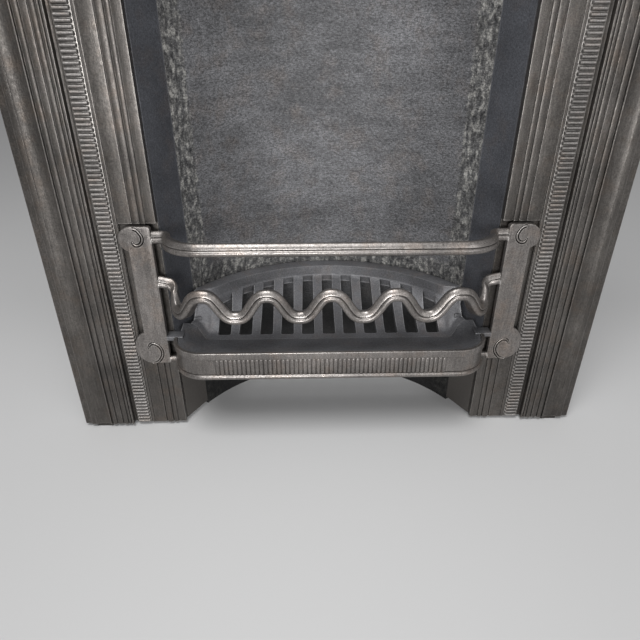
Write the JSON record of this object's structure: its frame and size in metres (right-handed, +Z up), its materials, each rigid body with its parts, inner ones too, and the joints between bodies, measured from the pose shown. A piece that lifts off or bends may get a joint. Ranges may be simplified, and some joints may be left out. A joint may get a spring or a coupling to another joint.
{
  "type": "cast iron fireplace",
  "caption": "Cast iron bedroom fireplace with moulded jambs, a mantel shelf, a curved fireback, a hook-on fire front of reeded and serpentine bars, a loose slotted grate and a flue damper.",
  "frame": {"origin": "middle of the width and depth, on the floor under the feet", "axes": "+X to the viewer's right along the front, +Y back into the chimney, +Z up"},
  "size_m": [0.914, 0.2722, 0.965],
  "materials": {
    "frame_iron": "blackened cast iron, lightly polished on the mouldings",
    "dark_iron": "dull dark cast iron",
    "fireback_iron": "rough grey, sooted",
    "bar_iron": "burnished cast iron",
    "grate_iron": "grainy grey casting",
    "bolt_steel": "plain dark steel"
  },
  "bodies": {
    "fireplace": {"left_jamb": "frame_iron", "right_jamb": "frame_iron", "head": "frame_iron", "mantel_shelf": "frame_iron", "left_corbel": "frame_iron", "right_corbel": "frame_iron", "left_cheek": "dark_iron", "right_cheek": "dark_iron", "throat_plate": "dark_iron", "left_corner_cleat": "dark_iron", "right_corner_cleat": "dark_iron", "fireback": "fireback_iron", "damper_hinge_pin": "bolt_steel", "left_cleat_bolt_jamb": "bolt_steel", "right_cleat_bolt_jamb": "bolt_steel", "left_cleat_bolt_head": "bolt_steel", "right_cleat_bolt_head": "bolt_steel", "left_corbel_bolt": "bolt_steel", "right_corbel_bolt": "bolt_steel", "left_shelf_bolt": "bolt_steel", "right_shelf_bolt": "bolt_steel", "left_cheek_bolt_1": "bolt_steel", "right_cheek_bolt_1": "bolt_steel", "left_cheek_bolt_2": "bolt_steel", "right_cheek_bolt_2": "bolt_steel", "left_cheek_bolt_3": "bolt_steel", "right_cheek_bolt_3": "bolt_steel", "left_fireback_bolt_1": "bolt_steel", "right_fireback_bolt_1": "bolt_steel", "left_fireback_bolt_2": "bolt_steel", "right_fireback_bolt_2": "bolt_steel", "left_throat_bolt": "bolt_steel", "right_throat_bolt": "bolt_steel"},
    "damper": {"damper_flap": "dark_iron", "damper_knob": "bar_iron"},
    "grate": {"bottom_grate": "grate_iron"},
    "fire_front": {"left_upright": "bar_iron", "right_upright": "bar_iron", "top_bar": "bar_iron", "serpentine_bar": "bar_iron", "ribbed_apron": "bar_iron", "bottom_rail": "bar_iron", "front_pan": "grate_iron"}
  },
  "joints": [
    {"name": "damper_hinge", "type": "hinge", "parent": "fireplace", "child": "damper", "pos_m": [0, 0.1059, 0.8218], "axis": [-1, 0, 0], "range_deg": [0, 75]},
    {"name": "grate_lift", "type": "slide", "parent": "fireplace", "child": "grate", "axis": [0, 0, 1], "range_m": [0, 0.18]},
    {"name": "fire_front_lift", "type": "slide", "parent": "fireplace", "child": "fire_front", "axis": [0, 0, 1], "range_m": [0, 0.01]}
  ]
}
